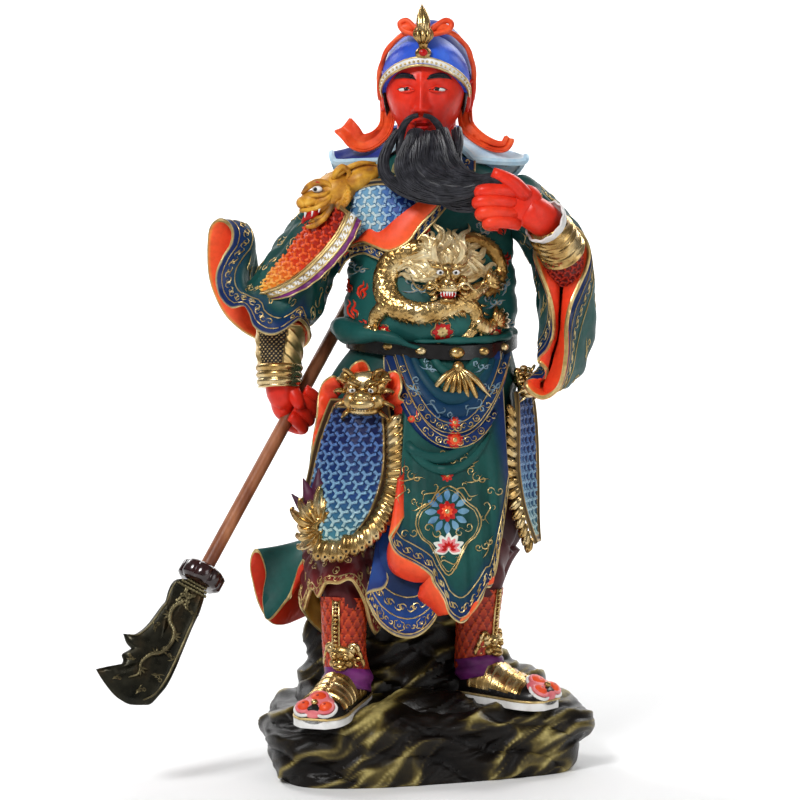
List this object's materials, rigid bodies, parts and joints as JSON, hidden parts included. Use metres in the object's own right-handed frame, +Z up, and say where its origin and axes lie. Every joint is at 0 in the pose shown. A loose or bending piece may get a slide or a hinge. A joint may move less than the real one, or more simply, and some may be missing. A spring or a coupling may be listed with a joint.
{
  "type": "guan yu statue",
  "caption": "Painted cast statue of a bearded general in scale armour and robe, standing on a rock and holding a long glaive low at the side.",
  "frame": {"origin": "centre of the rock's flat underside", "axes": "+Z up through the figure, the figure faces -Y, +X to the viewer's right"},
  "size_m": [0.3866, 0.2093, 0.6002],
  "materials": {
    "painted_casting": "cast resin painted teal, red, blue and gold, satin",
    "shaft_wood": "brown stained wood, satin",
    "collar_lacquer": "dark red gloss lacquer",
    "blade_bronze": "dark bronze paint rubbed with gold on the relief"
  },
  "bodies": {
    "root": {"figure_on_rock": "painted_casting", "glaive_shaft": "shaft_wood", "glaive_collar": "collar_lacquer", "glaive_blade": "blade_bronze"}
  },
  "joints": []
}
